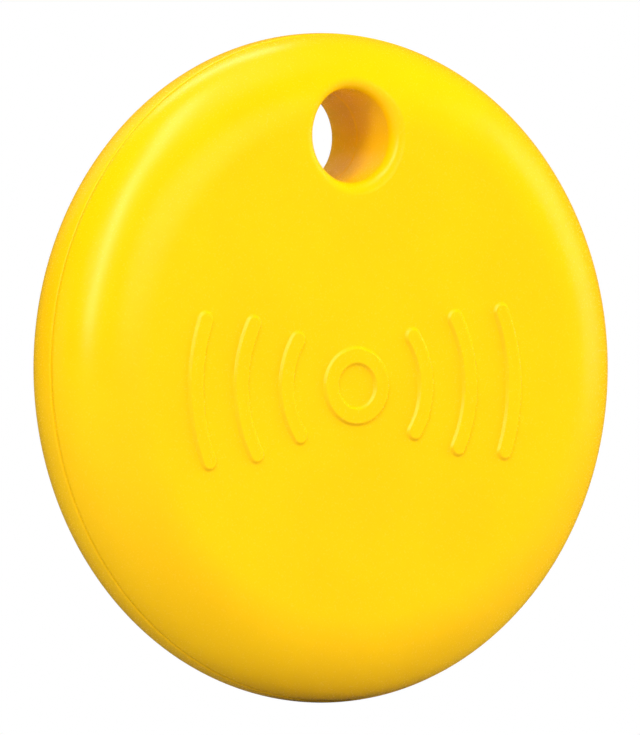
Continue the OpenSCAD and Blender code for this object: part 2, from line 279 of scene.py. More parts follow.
def flat_patch(skin, z, up, loops, keep):
    """A flat face between loops, facing +z if up, else -z."""
    flat, tri = triangles(loops, [], keep)
    normals = np.tile([0, 0, 1.0 if up else -1.0], (len(flat), 1))
    skin.add(np.column_stack([flat, np.full(len(flat), z)]), normals, tri if up else tri[:, ::-1])


def away(p, centre=(0, 0)):
    return np.hypot(p[:, 0] - centre[0], p[:, 1] - centre[1])


# ---------------------------------------------------------------- raised mark
def mark_height(d):
    """Height of the mark at distance d from a stroke's middle line, and its slope."""
    start = MARK_STROKE / 2 - MARK_SOFT / 2
    t = np.clip((np.abs(d) - start) / MARK_SOFT, 0, 1)
    return MARK_H * (1 - t * t * (3 - 2 * t)), -MARK_H * 6 * t * (1 - t) / MARK_SOFT


def mark_rows():
    """Distances from the middle line at which a stroke has a row of points."""
    half = MARK_STROKE / 2
    edge = list(np.linspace(half - MARK_SOFT / 2, half + MARK_SOFT / 2, 9))
    return [0, half / 2, *edge, half + MARK_SOFT / 2 + 0.04]


def mark_arcs():
    """(radius, half angle, side) of each arc, side +1 to the right and -1 to the left."""
    arcs = []
    for n in (1, 2, 3):
        radius, half_angle = MARK_RING_R + n * MARK_STEP, math.radians(MARK_SPAN - n * MARK_TAPER)
        arcs += [(radius, half_angle, side) for side in (1, -1)]
    return arcs


def arc_outline(radius, half_angle, side, d):
    """Closed outline at distance d round an arc's middle line, with its outward directions."""
    along = np.linspace(-half_angle, half_angle, int(radius * half_angle * 16))
    cap = np.linspace(0, math.pi, 17)[1:-1]
    where, way = [], []
    for t in along:
        e = np.array([math.cos(t), math.sin(t)])
        where.append(e * radius)
        way.append(e)
    for t in cap:
        where.append(np.array([math.cos(half_angle), math.sin(half_angle)]) * radius)
        way.append(np.array([math.cos(half_angle + t), math.sin(half_angle + t)]))
    for t in along[::-1]:
        e = np.array([math.cos(t), math.sin(t)])
        where.append(e * radius)
        way.append(-e)
    for t in cap:
        where.append(np.array([math.cos(half_angle), -math.sin(half_angle)]) * radius)
        way.append(-np.array([math.cos(-half_angle + t), math.sin(-half_angle + t)]))
    where, way = np.array(where), np.array(way)
    where, way = where * [side, side], way * [side, side]
    return where + way * d + MARK_AT, way


def stroke_patch(skin, outline_at):
    """A stroke of the mark: rows of points at growing distance from its middle line."""
    points, normals = [], []
    for d in mark_rows():
        edge, way = outline_at(d)
        height, slope = mark_height(d)
        points.append(np.column_stack([edge, np.full(len(edge), FRONT_Z + height)]))
        normals.append(np.column_stack([-slope * way, np.ones(len(edge))]))
    faces = grid_faces(len(points), len(points[0]))
    skin.add(np.concatenate(points), np.concatenate(normals), [f[::-1] for f in faces])


def ring_side(columns, sign):
    """Outline function for the outer (+1) or inner (-1) side of the middle ring."""

    def outline(d):
        way = circle(1, columns)
        return way * (MARK_RING_R + sign * d) + MARK_AT, way * sign

    return outline


def add_mark(skin):
    """Adds the raised mark and returns the loops that bound it."""
    columns = 96
    clear = mark_rows()[-1]
    loops = []
    for arc in mark_arcs():
        stroke_patch(skin, lambda d, arc=arc: arc_outline(*arc, d))
        loops.append(arc_outline(*arc, clear)[0])
    for sign in (1, -1):
        outline = ring_side(columns, sign)
        part = Skin()
        stroke_patch(part, outline)
        faces = part.faces if sign > 0 else [f[::-1] for f in part.faces]
        skin.add(part.points[0], part.normals[0], faces)
        loops.append(outline(clear)[0])
    return loops


def outside_mark(p):
    """True where a point is on none of the mark's strokes."""
    clear = mark_rows()[-1]
    q = p - np.array(MARK_AT)
    ok = np.abs(away(q) - MARK_RING_R) > clear
    for radius, half_angle, side in mark_arcs():
        v = q * side
        t = np.clip(np.arctan2(v[:, 1], v[:, 0]), -half_angle, half_angle)
        ok &= np.hypot(v[:, 0] - radius * np.cos(t), v[:, 1] - radius * np.sin(t)) > clear
    return ok


# ---------------------------------------------------------------- outer skin of each shell
class Face:
    """One side of the case: its rounded edge, the mouth of its hole and the lip where the bore parts.
    sign is +1 in front."""

    def __init__(self, sign, flat_r, round_size, mouth, lip):
        self.sign, self.flat_r, self.round = sign, flat_r, round_size
        self.mouth, self.lip = mouth, lip
        self.hole_ring = HOLE_R + mouth + 0.2
        self.rim_ring = HOLE_Y + self.hole_ring + 0.35
        self.rim_angle = math.degrees(math.acos((self.rim_ring - flat_r) / round_size[0]))

    def drop(self, r):
        """Height above the widest point, and slope, at distance r from the middle."""
        w, h = self.round
        t = np.clip((r - self.flat_r) / w, 0, 0.9999)
        return h * np.sqrt(1 - t * t), -h / w * t / np.sqrt(1 - t * t)

    def surface(self, p):
        """Points and normals of the skin over flat points away from the hole's mouth."""
        r = np.maximum(away(p), 1e-9)
        height, slope = self.drop(r)
        points = np.column_stack([p, WIDEST_Z + self.sign * height])
        lean = -slope / r
        normals = np.column_stack([lean * p[:, 0], lean * p[:, 1], np.full(len(p), float(self.sign))])
        return points, normals

    def mouth_patch(self, skin):
        """The rounded mouth and the bore down to the parting line inside the hole."""
        way = circle(1, HOLE_COLUMNS)
        points, normals = [], []
        for d in (self.hole_ring, HOLE_R + self.mouth + 0.08):
            p, n = self.surface(way * d + [0, HOLE_Y])
            points.append(p)
            normals.append(n)
        for b in np.radians(np.linspace(0, 90, 17)):
            d = HOLE_R + self.mouth * (1 - math.sin(b))
            p, n = self.surface(way * d + [0, HOLE_Y])
            p[:, 2] -= self.sign * self.mouth * (1 - math.cos(b))
            lean = np.column_stack([-way * math.sin(b), np.zeros(len(way))])
            points.append(p)
            normals.append(n * math.cos(b) + lean)
        lip = self.lip
        top = points[-1]
        stop = HOLE_SEAM_Z + self.sign * lip
        for part in (0.3, 1):
            p = top.copy()
            p[:, 2] += (stop - top[:, 2]) * part
            points.append(p)
            normals.append(np.column_stack([-way, np.zeros(len(way))]))
        for b in np.radians(np.linspace(22.5, 90, 4)):
            p = top.copy()
            p[:, :2] = way * (HOLE_R + lip * (1 - math.cos(b))) + [0, HOLE_Y]
            p[:, 2] = stop - self.sign * lip * math.sin(b)
            points.append(p)
            down = np.full(len(way), -self.sign * math.sin(b))
            normals.append(np.column_stack([-way * math.cos(b), down]))
        faces = grid_faces(len(points), HOLE_COLUMNS)
        if self.sign < 0:
            faces = [f[::-1] for f in faces]
        skin.add(np.concatenate(points), np.concatenate(normals), faces)

    def middle_patch(self, skin, loops, keep, bare):
        """The flat and the start of the rounded edge, between the rim's grid and the hole's mouth.
        bare keeps loose points away from whatever else the face holds."""
        hole = circle(self.hole_ring, HOLE_COLUMNS, (0, HOLE_Y))
        rim = circle(self.rim_ring, RIM_COLUMNS)
        rings = []
        for a in np.linspace(self.rim_angle, 90, 16)[1:]:
            ring_r = self.flat_r + self.round[0] * math.cos(math.radians(a))
            rings.append(circle(ring_r, RIM_COLUMNS // 2))
        side = np.arange(-self.flat_r, self.flat_r, 0.9)
        x, y = np.meshgrid(side, side)
        fill = np.column_stack([(x + 0.45 * (np.arange(len(side)) % 2)[:, None]).ravel(), y.ravel()])
        loose = np.concatenate([*rings, fill[away(fill) < self.flat_r - 0.6]])
        loose = loose[(away(loose, (0, HOLE_Y)) > self.hole_ring + 0.15) & bare(loose)]
        flat, tri = triangles(
            [rim, hole, *loops],
            loose,
            lambda p: (away(p, (0, HOLE_Y)) > self.hole_ring * 0.9999) & keep(p),
        )
        points, normals = self.surface(flat)
        skin.add(points, normals, tri if self.sign > 0 else tri[:, ::-1])


def rim_at(z):
    """Angle round the rounded front edge, in degrees, and radius at height z."""
    w, h = FRONT_ROUND
    angle = math.asin((z - WIDEST_Z) / h)
    return math.degrees(angle), FRONT_FLAT_R + w * math.cos(angle)


SEAM_R = rim_at(SEAM_Z)[1] - SEAM_GROOVE


def front_outer(skin):
    face = Face(1, FRONT_FLAT_R, FRONT_ROUND, FRONT_MOUTH, FRONT_LIP)
    w, h = FRONT_ROUND
    start, edge_r = rim_at(SEAM_Z + SEAM_SOFT)
    lip = oval(SEAM_R, SEAM_Z + SEAM_SOFT, edge_r - SEAM_R, SEAM_SOFT, -90, 0, 8)
    revolve(skin, lip, RIM_COLUMNS)
    revolve(skin, oval(FRONT_FLAT_R, WIDEST_Z, w, h, start, face.rim_angle, 40), RIM_COLUMNS)
    loops = add_mark(skin)
    face.middle_patch(skin, loops, outside_mark, outside_mark)
    face.mouth_patch(skin)


def notch(points, normals, columns):
    """Presses the pry notch into the rear shell's rim at three o'clock and turns the normals to suit."""
    grid = points.reshape(-1, columns, 3)
    r = away(points).reshape(-1, columns)
    along = np.abs(grid[:, :, 1])
    across = np.clip((NOTCH_W / 2 - along) / 0.5, 0, 1)
    down = np.clip((grid[:, :, 2] - (SEAM_Z - NOTCH_H)) / 0.15, 0, 1)
    depth = NOTCH_DEPTH * across**2 * (3 - 2 * across) * down**2 * (3 - 2 * down) * (grid[:, :, 0] > 0)
    scale = (r - depth) / r
    moved = grid.copy()
    moved[:, :, 0] *= scale
    moved[:, :, 1] *= scale
    by_column = np.roll(moved, -1, 1) - np.roll(moved, 1, 1)
    by_row = np.gradient(moved, axis=0)
    bent = np.cross(by_column, by_row)
    length = np.linalg.norm(bent, axis=2, keepdims=True)
    touched = depth > 0
    touched |= np.roll(touched, 1, 1) | np.roll(touched, -1, 1)
    bent = np.where(length > 1e-12, bent / np.maximum(length, 1e-12), 0)
    normals = np.where(touched[:, :, None], bent, normals.reshape(-1, columns, 3))
    return moved.reshape(-1, 3), normals.reshape(-1, 3)


def rear_outer(skin):
    face = Face(-1, REAR_FLAT_R, REAR_ROUND, REAR_MOUTH, REAR_LIP)
    stop, edge_r = rim_at(SEAM_Z - SEAM_SOFT)
    rows = oval(FRONT_FLAT_R, WIDEST_Z, *FRONT_ROUND, 0, stop, 14)
    lip = oval(SEAM_R, SEAM_Z - SEAM_SOFT, edge_r - SEAM_R, SEAM_SOFT, 0, 90, 8)
    revolve(skin, rows + lip[1:], RIM_COLUMNS, push=notch)
    revolve(skin, oval(REAR_FLAT_R, WIDEST_Z, *REAR_ROUND, -face.rim_angle, 0, 40), RIM_COLUMNS)
    face.middle_patch(skin, [], lambda p: np.ones(len(p), bool), lambda p: np.ones(len(p), bool))
    face.mouth_patch(skin)


# ---------------------------------------------------------------- insides of the shells
TUBE_LOOP = (TUBE_R - 0.1, HOLE_COLUMNS, (0, HOLE_Y))


def clear_of_tube(p):
    return away(p, (0, HOLE_Y)) > TUBE_LOOP[0]


def outside_tube(p):
    return clear_of_tube(p) & (away(p) < REAR_FLAT_R)


def outside_tube_and_recess(p):
    return clear_of_tube(p) & (away(p) < FRONT_FLAT_R) & (away(p, (0, PRESS_Y)) > PRESS_R * 0.9999)


def front_inner(skin):
    cavity_h = FRONT_INNER_Z - WIDEST_Z
    b = math.degrees(math.asin((SEAL_TOP - WIDEST_Z) / cavity_h))
    shoulder_r = FRONT_FLAT_R + FRONT_CAVITY_W * math.cos(math.radians(b))
    seat = rounded([(shoulder_r, SEAL_TOP), (REBATE_R, SEAL_TOP), (REBATE_R, SEAM_Z), (SEAM_R, SEAM_Z)])
    revolve(skin, seat, RIM_COLUMNS)
    dome = oval(FRONT_FLAT_R, WIDEST_Z, FRONT_CAVITY_W, cavity_h, 90, b, 20, outward=-1)
    revolve(skin, dome, RIM_COLUMNS, keep=clear_of_tube)
    ceiling = circle(FRONT_FLAT_R, RIM_COLUMNS)
    recess = circle(PRESS_R, HOLE_COLUMNS, (0, PRESS_Y))
    loops = [ceiling, recess, circle(*TUBE_LOOP)]
    flat_patch(skin, FRONT_INNER_Z, False, loops, outside_tube_and_recess)
    wall = rounded([(0.01, PRESS_Z), (PRESS_R, PRESS_Z), (PRESS_R, FRONT_INNER_Z)], radius=0.1)
    revolve(skin, wall, HOLE_COLUMNS, (0, PRESS_Y))
    sleeve = [
        (HOLE_R + FRONT_LIP, HOLE_SEAM_Z),
        (SPIGOT_R, HOLE_SEAM_Z),
        (SPIGOT_R, HOLE_SEAL_TOP),
        (TUBE_R, HOLE_SEAL_TOP),
        (TUBE_R, FRONT_INNER_Z + 0.1),
    ]
    revolve(skin, rounded(sleeve), HOLE_COLUMNS, (0, HOLE_Y))
    for at in POSTS:
        head = oval(0, BOARD_REAR - 0.06, 1.0, 0.24, -90, 0, 8)
        revolve(skin, head, 48, at)
        stem = [
            (1.0, BOARD_REAR - 0.06),
            (1.0, BOARD_REAR),
            (0.6, BOARD_REAR),
            (0.6, BOARD_FRONT),
            (1.0, BOARD_FRONT),
            (1.0, FRONT_INNER_Z + 0.1),
        ]
        revolve(skin, rounded(stem, radius=0.02, steps=2), 48, at)


def rear_inner(skin):
    floor_h = WIDEST_Z - REAR_INNER_Z
    tongue = [
        (SEAM_R, SEAM_Z),
        (TONGUE_R, SEAM_Z),
        (TONGUE_R, TONGUE_TOP),
        (CAVITY_R, TONGUE_TOP),
        (CAVITY_R, WIDEST_Z),
    ]
    revolve(skin, rounded(tongue, radius=0.08), RIM_COLUMNS)
    bowl = oval(REAR_FLAT_R, WIDEST_Z, CAVITY_R - REAR_FLAT_R, floor_h, 0, -90, 20, outward=-1)
    revolve(skin, bowl, RIM_COLUMNS, keep=clear_of_tube)
    ring = circle(REAR_FLAT_R, RIM_COLUMNS)
    flat_patch(skin, REAR_INNER_Z, True, [ring, circle(*TUBE_LOOP)], outside_tube)
    collar = [
        (TUBE_R, REAR_INNER_Z - 0.1),
        (TUBE_R, COLLAR_TOP),
        (COLLAR_R, COLLAR_TOP),
        (COLLAR_R, HOLE_SEAM_Z),
        (HOLE_R + REAR_LIP, HOLE_SEAM_Z),
    ]
    revolve(skin, rounded(collar), HOLE_COLUMNS, (0, HOLE_Y))


def front_shell():
    skin = Skin()
    front_outer(skin)
    front_inner(skin)
    return skin.build("front_shell_moulded", "case", "front_shell")


def rear_shell():
    skin = Skin()
    rear_outer(skin)
    rear_inner(skin)
    return skin.build("rear_shell_moulded", "cover", "rear_shell")


# ---------------------------------------------------------------- details of the board, cell and switch
def islands(name):
    """Corner points, in the disc's frame, of each separate solid in a CAD node."""
    mesh = nodes[name].data
    points = np.array([v.co for v in mesh.vertices]) / MM
    points = np.column_stack([points[:, 0], points[:, 2] + HOLE_Y, -points[:, 1]])
    group = list(range(len(points)))

    def root(i):
        while group[i] != i:
            i = group[i]
        return i

    for edge in mesh.edges:
        a, b = (root(i) for i in edge.vertices)
        group[max(a, b)] = min(a, b)
    roots = np.array([root(i) for i in range(len(points))])
    return [points[roots == r] for r in np.unique(roots)]


def footprint(points):
    """The four corners of an upright block as seen from behind, in order round its middle."""
    flat = np.unique(np.round(points[:, :2], 4), axis=0)
    middle = flat.mean(axis=0)
    turned = np.arctan2(flat[:, 1] - middle[1], flat[:, 0] - middle[0])
    return flat[np.argsort(turned)]


def sides(corners):
    """Start, end and outward direction of each side of an outline that runs anticlockwise."""
    out = []
    for a, b in zip(corners, np.roll(corners, -1, axis=0)):
        along = (b - a) / np.linalg.norm(b - a)
        out.append((a, b, np.array([along[1], -along[0]])))
    return out


def solder_fillet(skin, corners, height, reach):
    """Hollow solder slope from the board up the sides of a block."""
    walls, rows = sides(corners), 6
    for i, (a, b, way) in enumerate(walls):
        before, after = walls[i - 1][2], walls[(i + 1) % len(walls)][2]
        points, normals = [], []
        for t in np.radians(np.linspace(0, 90, rows)):
            off = reach * (1 - math.sin(t))
            z = BOARD_REAR + SUNK - height * (1 - math.cos(t))
            lean = [*(way * height * (math.sin(t) + 0.05)), -reach * (math.cos(t) + 0.05)]
            for corner, side in ((a, before), (b, after)):
                points.append([*(corner + (way + side) * off), z])
                normals.append(lean)
        skin.add_faced(points, normals, grid_faces(rows, 2, closed=False))


def ribbon(skin, path, width, rise, closed=False):
    """Flat raised line on the board's rear face, with mitred bends."""
    path = np.asarray(path, float)
    count = len(path)
    ways = [path[(i + 1) % count] - path[i] for i in range(count if closed else count - 1)]
    ways = [w / np.linalg.norm(w) for w in ways]
    before = [ways[i - 1 if closed else max(i - 1, 0)] for i in range(count)]
    after = [ways[i if closed else min(i, count - 2)] for i in range(count)]
    mitres = []
    for first, second in zip(before, after):
        left = np.array([-first[1] - second[1], first[0] + second[0]])
        left /= np.linalg.norm(left)
        mitres.append(left / (left @ np.array([-first[1], first[0]])) * width / 2)
    mitres = np.array(mitres)
    edges = [path + mitres, path - mitres]
    order = [*range(count), 0] if closed else range(count)
    low, high = BOARD_REAR + SUNK, BOARD_REAR - rise
    walls = [(edges[0], low, edges[0], high, mitres), (edges[1], high, edges[1], low, -mitres)]
    for one, z_one, two, z_two, way in walls:
        points = [[*e[i], z] for i in order for e, z in ((one, z_one), (two, z_two))]
        normals = [[*(way[i] / np.linalg.norm(way[i])), 0] for i in order for _ in (0, 1)]
        skin.add_faced(points, normals, grid_faces(len(points) // 2, 2, closed=False))
    points = [[*e[i], high] for i in order for e in edges]
    normals = np.tile([0, 0, -1.0], (len(points), 1))
    skin.add_faced(points, normals, grid_faces(len(points) // 2, 2, closed=False))


def arc(centre, radius, start, stop):
    """Points along an arc, about one for each 2 degrees."""
    angles = np.radians(np.linspace(start, stop, max(2, int(abs(stop - start) / 2))))
    return np.column_stack([centre[0] + radius * np.cos(angles), centre[1] + radius * np.sin(angles)])


def via(skin, at, outer=0.24, inner=0.11):
    """Tinned ring round a plated hole."""
    top = BOARD_REAR - 0.03
    section = [(outer, BOARD_REAR), (outer, top), (inner, top), (inner, BOARD_REAR + 0.01)]
    revolve(skin, rounded(section, radius=0.012, steps=2), 20, at)


def bus_arcs():
    """Arcs of the board's tracks round the coin cell: radius, start and stop in degrees."""
    left = [(BUS_R + n * BUS_STEP, 146 - 3 * n, 246 - 4 * n) for n in range(5)]
    right = [(BUS_R + n * BUS_STEP, 36 - 3 * n, -44 + 4 * n) for n in range(5)]
    return left + right


def board_tracks():
    """Tracks round the cell, their branches and the ground ring along the board's edge."""
    skin = Skin()
    for radius, start, stop in bus_arcs():
        ribbon(skin, arc(CELL_AT, radius, start, stop), 0.16, TRACK_RISE)
    for radius, start, stop in bus_arcs()[1::2]:
        for angle in np.arange(min(start, stop) + 9, max(start, stop) - 5, 13):
            foot = arc(CELL_AT, radius, angle, angle + 1)[0]
            way = (foot - CELL_AT) / radius
            bend = foot + way * 0.7
            ribbon(skin, [foot, bend, bend + (way + [-way[1], way[0]]) * 0.45], 0.13, TRACK_RISE)
    ribbon(skin, arc((0, 0), BOARD_EDGE_R, 104, 436), 0.3, TRACK_RISE)
    return skin.build("board_tracks", "case")


def board_vias():
    """Vias at the tracks' ends, along the ground ring and in two rows by the cell."""
    skin = Skin()
    for radius, start, stop in bus_arcs():
        for angle in (start, stop):
            via(skin, arc(CELL_AT, radius, angle, angle + 1)[0])
    for angle in np.arange(110, 432, 14):
        via(skin, arc((0, 0), BOARD_EDGE_R, angle, angle + 1)[0], 0.2, 0.09)
    for x in np.arange(-6, 6.1, 1.5):
        for y in (5.6, -7.2):
            via(skin, (x, y))
    return skin.build("board_vias", "case")


def block_corners(name, grow=0):
    """Corners of a CAD node's box on the board, grown outwards and anticlockwise from the lower left."""
    low, high = (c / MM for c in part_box(name))
    x0, x1 = low.x - grow, high.x + grow
    y0, y1 = low.z + HOLE_Y - grow, high.z + HOLE_Y + grow
    return np.array([(x0, y0), (x1, y0), (x1, y1), (x0, y1)])


def solder_joints():
    """Solder at both ends of each small part and round the larger metal ones."""
    skin = Skin()
    for name, height in (("capacitor_ends", 0.3), ("resistor_ends", 0.2)):
        for block in islands(name):
            solder_fillet(skin, footprint(block), height, 0.16)
    for name in ("main_crystal", "clock_crystal", "boost_inductor"):
        solder_fillet(skin, block_corners(name), 0.22, 0.14)
    return skin.build("solder_joints", "case")


def chip_pads():
    """Tinned pads that show round the foot of each leadless chip."""
    skin = Skin()
    for name, pitch in (("radio_chip", 0.4), ("buzzer_driver", 0.5)):
        for a, b, way in sides(block_corners(name)):
            length = np.linalg.norm(b - a)
            count = int((length - 0.7) / pitch)
            for n in range(count + 1):
                at = a + (b - a) * (0.5 + (n - count / 2) * pitch / length)
                ribbon(skin, [at - way * 0.1, at + way * 0.17], 0.2, 0.04)
    return skin.build("chip_pads", "case")


def silkscreen():
    """White outlines printed round the chips, without any lettering."""
    skin = Skin()
    for name in ("radio_chip", "buzzer_driver", "boost_inductor", "main_crystal", "clock_crystal"):
        ribbon(skin, block_corners(name, 0.34), 0.1, 0.012, closed=True)
    return skin.build("board_silkscreen", "case")


def pin_dots():
    """Moulded dot by the first contact of each chip."""
    skin = Skin()
    for name in ("radio_chip", "buzzer_driver"):
        corner = block_corners(name, -0.55)[3]
        top = -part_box(name)[1].y / MM
        section = [(0.24, top + 0.01), (0.24, top - 0.012), (0.01, top - 0.012)]
        revolve(skin, rounded(section, radius=0.008, steps=2), 24, corner)
    return skin.build("chip_dots", "case")


def plus_sign():
    """Raised plus on the coin cell's can, the sign for its pole."""
    arm, half, top = 2.2, 0.4, CELL_REAR - 0.06
    quarter = [(half, half), (half, arm), (-half, arm)]
    outline = []
    for turned in range(4):
        c, s = round(math.cos(turned * math.pi / 2)), round(math.sin(turned * math.pi / 2))
        outline += [(c * x - s * y, s * x + c * y) for x, y in quarter]
    outline = np.array(outline) + CELL_AT
    skin = Skin()
    for a, b, way in sides(outline):
        points, normals = [], []
        for t in np.radians(np.linspace(0, 90, 5)):
            z = CELL_REAR + 0.01 - 0.07 * math.sin(t)
            off = way * (0.09 * math.cos(t))
            points += [[*(a + off), z], [*(b + off), z]]
            normals += [[*(way * math.cos(t)), -math.sin(t)]] * 2
        skin.add_faced(points, normals, grid_faces(5, 2, closed=False))
    flat_patch(skin, top, False, [outline], lambda p: np.abs(p - CELL_AT).min(axis=1) < half)
    return skin.build("cell_plus_sign", "cell")


def spring_wires():
    """Both contact springs, with round wire and rounded ends.
    Each ring of points has its turn along the coil, its share of the wire's radius and its lean."""
    skin = Skin()
    per_turn, around, wire = 40, 12, SPRING_WIRE / 2
    u = np.arange(around) * 2 * math.pi / around
    total = SPRING_TURNS * 2 * math.pi
    for centre, radius, rear in SPRINGS:
        round_end = np.radians([85, 60, 30])
        cap = [(math.sin(a) * wire / radius, math.cos(a), math.sin(a)) for a in round_end]
        rings = [(-t, share, -lean) for t, share, lean in cap]
        rings += [(t, 1, 0) for t in np.linspace(0, total, SPRING_TURNS * per_turn + 1)]
        rings += [(total + t, share, lean) for t, share, lean in cap[::-1]]
        points, normals = [], []
        for t, share, lean in rings:
            c, s = math.cos(t), math.sin(t)
            r = radius + wire * share * np.cos(u)
            z = rear + wire + (BOARD_REAR - rear - 2 * wire) * t / total + wire * share * np.sin(u)
            points.append(np.column_stack([centre[0] + r * c, centre[1] + r * s, z]))
            out = share * np.cos(u)
            normals.append(np.column_stack([out * c - lean * s, out * s + lean * c, share * np.sin(u)]))
        skin.add_faced(np.concatenate(points), np.concatenate(normals), grid_faces(len(rings), around))
    return skin.build("spring_wires", "case", "buzzer_springs")


def snap_dome():
    """The switch's snap dome, built in its domed rest shape; the real one flattens under the stem."""
    low, high = (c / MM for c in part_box("switch_dome"))
    base, top, wide = -high.y, -low.y, (high.x - low.x) / 2
    bulge = (wide**2 + (top - base) ** 2) / (2 * (top - base))
    inner, middle = bulge - DOME_T, top - bulge
    half = math.degrees(math.asin(wide / bulge))
    inner_half = math.degrees(math.acos((base - middle) / inner))
    near_axis = 89.9
    outside = oval(0, middle, bulge, bulge, 90 - half, near_axis, 12)
    inside = oval(0, middle, inner, inner, near_axis, 90 - inner_half, 12, outward=-1)
    foot = [((inside[-1][0][0], base), (0, -1)), ((wide, base), (0, -1))]
    skin = Skin()
    for section in (outside, inside, foot):
        revolve(skin, section, 96, (0, PRESS_Y))
    dome = skin.build("snap_dome", "case", "switch_dome")
    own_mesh(dome)
    return dome


def inner_details():
    """Builds the details and gives each its finish."""
    paint(board_tracks(), masked_copper())
    for piece in (board_vias(), solder_joints(), chip_pads()):
        paint(piece, tinned_end())
    paint(silkscreen(), white_ink())
    paint(pin_dots(), grey_resin())
    paint(plus_sign(), etched_steel())
    paint(spring_wires(), gold_plate())
    paint(snap_dome(), sheet_steel())


# ---------------------------------------------------------------- materials
class Nodes:
    """Short calls for building one material's node tree around a Principled shader."""

    def __init__(self, name):
        self.material = bpy.data.materials.new(name)
        self.material.use_nodes = True
        self.tree = self.material.node_tree
        self.shader = self.tree.nodes["Principled BSDF"]
        self.where = self.tree.nodes.new("ShaderNodeTexCoord").outputs["Object"]

    def new(self, kind, **values):
        made = self.tree.nodes.new(kind)
        for key, value in values.items():
            setattr(made, key, value)
        return made

    def link(self, a, b):
        self.tree.links.new(a, b)

    def set(self, **values):
        for key, value in values.items():
            self.shader.inputs[key.replace("_", " ")].default_value = value
        return self

    def noise(self, scale, detail=3.0, rough=0.5, stretch=None):
        """Noise of the given scale in cycles per metre, stretched by a vector if asked."""
        made = self.new("ShaderNodeTexNoise")
        made.inputs["Scale"].default_value = scale
        made.inputs["Detail"].default_value = detail
        made.inputs["Roughness"].default_value = rough
        if stretch:
            spread = self.new("ShaderNodeMapping")
            spread.inputs["Scale"].default_value = stretch
            self.link(self.where, spread.inputs["Vector"])
            self.link(spread.outputs["Vector"], made.inputs["Vector"])
        else:
            self.link(self.where, made.inputs["Vector"])
        return made.outputs["Fac"]

    def ramp(self, value, low, high, low_at=0.35, high_at=0.65):
        made = self.new("ShaderNodeValToRGB")
        made.color_ramp.elements[0].position = low_at
        made.color_ramp.elements[1].position = high_at
        made.color_ramp.elements[0].color = (*low, 1)
        made.color_ramp.elements[1].color = (*high, 1)
        self.link(value, made.inputs["Fac"])
        return made.outputs["Color"]

    def spread(self, value, low, high):
        """Maps a 0 to 1 value on to low to high."""
        made = self.new("ShaderNodeMapRange")
        made.inputs["To Min"].default_value = low
        made.inputs["To Max"].default_value = high
        self.link(value, made.inputs["Value"])
        return made.outputs["Result"]

    def colour(self, value, low, high, low_at=0.35, high_at=0.65):
        self.link(self.ramp(value, low, high, low_at, high_at), self.shader.inputs["Base Color"])
        return self

    def roughness(self, value, low, high):
        self.link(self.spread(value, low, high), self.shader.inputs["Roughness"])
        return self

    def bump(self, value, height_mm, strength=1.0):
        made = self.new("ShaderNodeBump")
        made.inputs["Strength"].default_value = strength
        made.inputs["Distance"].default_value = height_mm * MM
        self.link(value, made.inputs["Height"])
        self.link(made.outputs["Normal"], self.shader.inputs["Normal"])
        return self


def moulded_yellow():
    """Satin ABS: fine spark-eroded grain, a faint flow mottle and a little depth."""
    m = Nodes("moulded_yellow")
    m.set(Specular_IOR_Level=0.5, Specular_Tint=(1.0, 0.95, 0.7, 1))
    m.set(Subsurface_Weight=0.05, Subsurface_Scale=0.0004, Subsurface_Radius=(1.0, 0.6, 0.05))
    m.colour(m.noise(180, 2), (0.9, 0.515, 0.0), (0.92, 0.535, 0.0))
    m.roughness(m.noise(9000, 2), 0.23, 0.3)
    m.bump(m.noise(14000, 2, 0.6), 0.0015)
    return m.material


# Metallic share of the satin metals. The rest scatters light, as their fine scratches do
SATIN = 0.6


@cache
def plain(name, low, high, rough, scale=1500, bump_mm=0.002, metallic=0.0, stretch=None):
    """A finish with a mottled colour, uneven roughness and a fine bump."""
    m = Nodes(name)
    m.set(Metallic=metallic)
    m.colour(m.noise(scale, 4, 0.55, stretch), low, high)
    m.roughness(m.noise(scale * 2.3, 3, 0.5, stretch), rough - 0.06, rough + 0.06)
    m.bump(m.noise(scale * 6, 2, 0.5, stretch), bump_mm)
    return m.material


def black_rubber():
    return plain("seal_rubber", (0.018, 0.018, 0.02), (0.03, 0.03, 0.032), 0.7, 2500, 0.004)


def pale_silicone():
    return plain("pale_silicone", (0.6, 0.57, 0.5), (0.68, 0.66, 0.6), 0.55, 1200, 0.003)


def white_nylon():
    return plain("white_nylon", (0.68, 0.67, 0.62), (0.76, 0.75, 0.71), 0.45, 1000, 0.002)


def black_resin():
    return plain("chip_resin", (0.012, 0.012, 0.013), (0.022, 0.022, 0.023), 0.55, 5000, 0.004)


def dark_ferrite():
    return plain("ferrite", (0.035, 0.034, 0.036), (0.07, 0.068, 0.07), 0.62, 6000, 0.006)


def tan_ceramic():
    return plain("capacitor_ceramic", (0.3, 0.19, 0.11), (0.38, 0.25, 0.15), 0.42, 3000, 0.002)


def resistor_glaze():
    return plain("resistor_glaze", (0.01, 0.01, 0.012), (0.025, 0.025, 0.028), 0.25, 4000, 0.001)


def tinned_end():
    return plain("tinned_end", (0.72, 0.71, 0.69), (0.84, 0.83, 0.81), 0.36, 8000, 0.004, SATIN)


def sheet_steel():
    return plain("sheet_steel", (0.68, 0.68, 0.67), (0.78, 0.78, 0.77), 0.28, 900, 0.001, SATIN, (1, 1, 14))


def can_steel():
    return plain("can_steel", (0.64, 0.64, 0.63), (0.78, 0.78, 0.77), 0.27, 700, 0.001, SATIN, (12, 1, 1))


def etched_steel():
    return plain("etched_steel", (0.8, 0.8, 0.79), (0.88, 0.88, 0.87), 0.48, 5000, 0.003, 0.35)


def gold_plate():
    return plain("gold_plate", (0.85, 0.58, 0.24), (0.93, 0.68, 0.33), 0.25, 2500, 0.001, SATIN)


